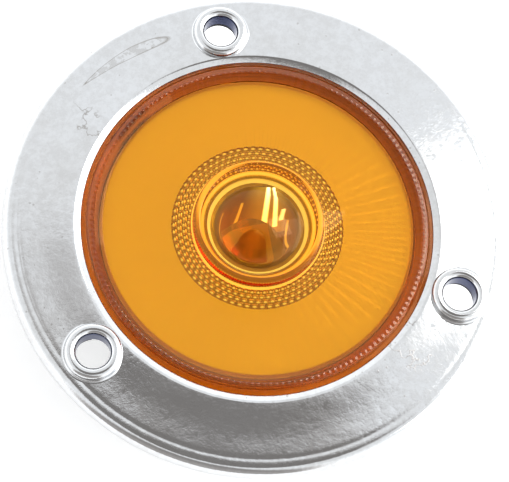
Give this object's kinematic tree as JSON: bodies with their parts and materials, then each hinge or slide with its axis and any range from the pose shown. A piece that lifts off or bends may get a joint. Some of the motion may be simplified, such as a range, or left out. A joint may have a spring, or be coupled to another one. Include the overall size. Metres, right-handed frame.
{
  "type": "marker light",
  "caption": "Round amber clearance light with a chrome flange bezel, raised screw collars, an eye lens over one emitter and a two-pole plug socket on the back.",
  "frame": {"origin": "centre of the bezel's rear mounting face", "axes": "+Z out of the lens, +Y towards one screw hole"},
  "size_m": [0.073, 0.073, 0.0224],
  "materials": {
    "chrome_plate": "bright decorative chrome plate on a moulded flange",
    "amber_plastic": "clear amber moulding, polished",
    "seal_rubber": "soft white silicone rubber",
    "gasket_foam": "closed-cell black foam",
    "housing_plastic": "white moulded plastic, fine grain",
    "resin": "self-levelled black potting resin",
    "white_plastic": "white moulded plastic",
    "metallised": "vacuum-metallised, bright",
    "board": "glass-filled board with white solder mask",
    "steel": "zinc-plated steel",
    "contact_brass": "tinned brass, drawn",
    "solder": "bright solder",
    "thermal_pad": "grey filled silicone",
    "led_body": "white ceramic",
    "led_silicone": "clear silicone",
    "chip_black": "black epoxy",
    "chip_ceramic": "dark glazed ceramic"
  },
  "bodies": {
    "root": {"bezel": "chrome_plate", "lens": "amber_plastic", "lens_seal": "seal_rubber", "mounting_gasket": "gasket_foam", "housing": "housing_plastic", "potting_resin": "resin", "reflector": "white_plastic", "led_cup": "metallised", "circuit_board": "board", "board_screws": "steel", "solder_joints": "solder", "led_thermal_pad": "thermal_pad", "led_package": "led_body", "led_dome": "led_silicone", "current_regulator": "chip_black", "polarity_diode": "chip_black", "capacitor": "chip_black", "resistor_1": "chip_ceramic", "resistor_2": "chip_ceramic", "contact_pin_positive": "contact_brass", "contact_pin_negative": "contact_brass"}
  },
  "joints": []
}
